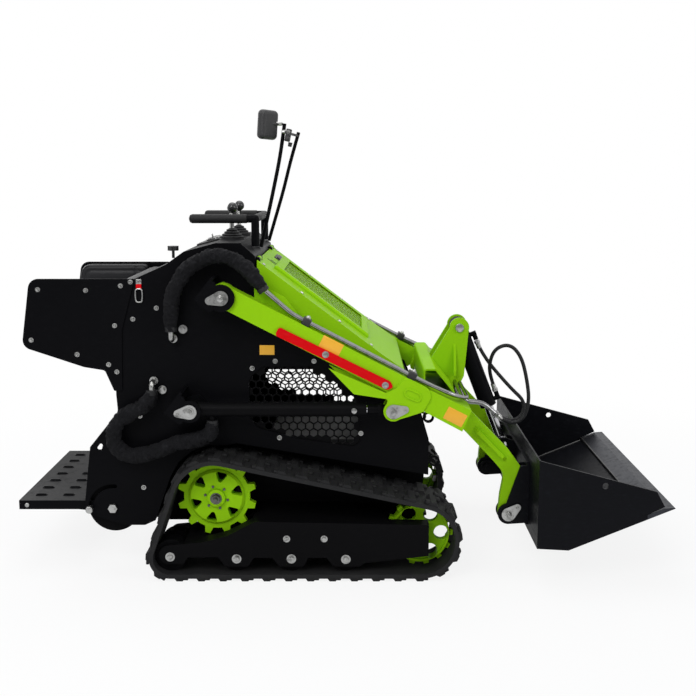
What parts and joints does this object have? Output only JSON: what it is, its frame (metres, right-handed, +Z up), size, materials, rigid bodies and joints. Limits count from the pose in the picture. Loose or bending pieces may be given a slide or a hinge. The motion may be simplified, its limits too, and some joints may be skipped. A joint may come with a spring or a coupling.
{
  "type": "mini skid steer loader",
  "caption": "Stand-on mini skid steer loader on rubber tracks, with a lift boom, bucket, fold-up step and slatted hood.",
  "frame": {"origin": "on the ground under the middle of the machine's bounding box", "axes": "+X forward towards the bucket, +Y to the machine's far (left) side, +Z up"},
  "size_m": [2.304, 1.07, 1.6397],
  "materials": {
    "lime_paint": "gloss",
    "black_paint": "satin",
    "frame_black": "satin",
    "red_paint": "gloss",
    "zinc": "satin",
    "chrome": "polished",
    "track_rubber": "matte",
    "boot_rubber": "matte",
    "hose_rubber": "satin",
    "hose_sleeve": "matte",
    "pad_leather": "satin",
    "knob_plastic": "gloss",
    "mirror_shell": "matte",
    "mirror_face": "polished",
    "engine_iron": "matte",
    "worn_steel": "satin"
  },
  "bodies": {
    "chassis": {"side_plates": "black_paint", "chassis_tub": "frame_black", "front_panel": "black_paint", "console": "black_paint", "wing_panels": "black_paint", "hip_pads": "pad_leather", "vent_grilles": "black_paint", "engine_block": "engine_iron", "grab_bars": "black_paint", "control_levers": "knob_plastic", "lever_boots": "boot_rubber", "mirror_posts": "black_paint", "mirror_head": "mirror_shell", "mirror_glass": "mirror_face", "pin_brackets": "black_paint", "bracket_pins": "zinc", "track_frames": "frame_black", "drive_sprockets": "lime_paint", "drive_motors": "frame_black", "front_idlers": "lime_paint", "track_rollers": "frame_black", "rubber_tracks": "track_rubber", "tie_down_rings": "black_paint", "hose_fittings": "zinc", "upper_hose_sleeves": "hose_sleeve", "lower_hose_sleeves": "hose_sleeve"},
    "step": {"step_deck": "black_paint", "step_lock_handle": "zinc"},
    "hood": {"hood": "lime_paint", "hood_grille": "black_paint"},
    "boom": {"boom_arms": "lime_paint", "knee_pins": "zinc", "boom_cross_tube": "lime_paint", "boom_legs": "lime_paint", "tilt_bracket": "lime_paint", "boom_pipes": "zinc", "lock_bars": "red_paint", "tilt_hoses": "hose_rubber"},
    "lift_barrel": {"lift_barrels": "black_paint"},
    "lift_rod": {"lift_rods": "chrome"},
    "tilt_barrel": {"tilt_barrel": "black_paint"},
    "tilt_rod": {"tilt_rod": "chrome"},
    "bucket": {"coupler": "black_paint", "bucket_shell": "black_paint", "cutting_edge": "worn_steel"}
  },
  "joints": [
    {"name": "boom_lift", "type": "hinge", "parent": "chassis", "child": "boom", "pos_m": [-0.395, 0, 0.997], "axis": [0, -1, 0], "range_deg": [0, 80], "deforming": ["upper_hose_sleeves"]},
    {"name": "bucket_tilt", "type": "hinge", "parent": "boom", "child": "bucket", "pos_m": [0.608, 0, 0.199], "axis": [0, 1, 0], "range_deg": [0, 95]},
    {"name": "step_fold", "type": "hinge", "parent": "chassis", "child": "step", "pos_m": [-0.813, 0, 0.225], "axis": [0, 1, 0], "range_deg": [0, 88]},
    {"name": "hood_open", "type": "hinge", "parent": "chassis", "child": "hood", "pos_m": [-0.284, 0, 1.113], "axis": [0, -1, 0], "range_deg": [0, 45]},
    {"name": "lift_swing", "type": "hinge", "parent": "chassis", "child": "lift_barrel", "pos_m": [-0.51, 0, 0.607], "axis": [0, -1, 0], "range_deg": [0, 56.2]},
    {"name": "lift_slide", "type": "slide", "parent": "lift_barrel", "child": "lift_rod", "axis": [1, 0, 0], "range_m": [0, 0.3815]},
    {"name": "tilt_swing", "type": "hinge", "parent": "boom", "child": "tilt_barrel", "pos_m": [0.45, 0, 0.835], "axis": [0, -1, 0], "range_deg": [0, 4.89], "deforming": ["tilt_hoses"]},
    {"name": "tilt_slide", "type": "slide", "parent": "tilt_barrel", "child": "tilt_rod", "axis": [0.3644, 0, -0.9312], "range_m": [0, 0.2569]}
  ],
  "couplings": [
    {"joint": "lift_swing", "follows": "boom_lift", "ratio": 0.70185},
    {"joint": "lift_slide", "follows": "boom_lift", "m_per_rad": 0.27289},
    {"joint": "tilt_swing", "follows": "bucket_tilt", "ratio": 0.050929},
    {"joint": "tilt_slide", "follows": "bucket_tilt", "m_per_rad": 0.15466}
  ]
}
